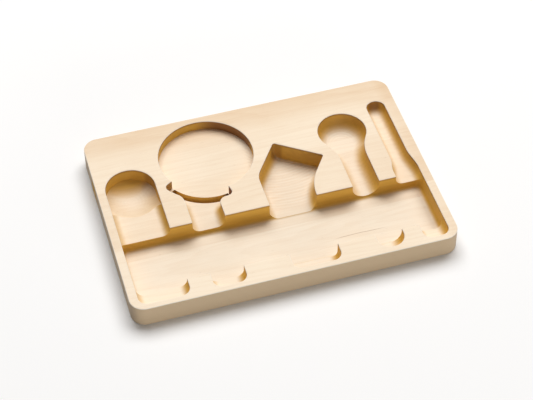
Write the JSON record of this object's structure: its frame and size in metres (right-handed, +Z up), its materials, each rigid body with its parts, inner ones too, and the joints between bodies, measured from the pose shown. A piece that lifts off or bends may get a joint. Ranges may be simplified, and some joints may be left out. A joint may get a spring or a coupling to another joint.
{
  "type": "tool storage caddy",
  "caption": "Flat wooden tool caddy with a long trough across the front and shaped pockets behind it that run out into the trough and end as notches in the front rim.",
  "frame": {"origin": "middle of the underside, on the surface that the caddy stands on", "axes": "+X along the length to the right, +Y from the front rim to the back, +Z up"},
  "size_m": [0.355, 0.251, 0.0254],
  "materials": {
    "maple": "fine-sanded, bare"
  },
  "bodies": {
    "root": {"back_board": "maple", "middle_board": "maple", "front_board": "maple"}
  },
  "joints": []
}
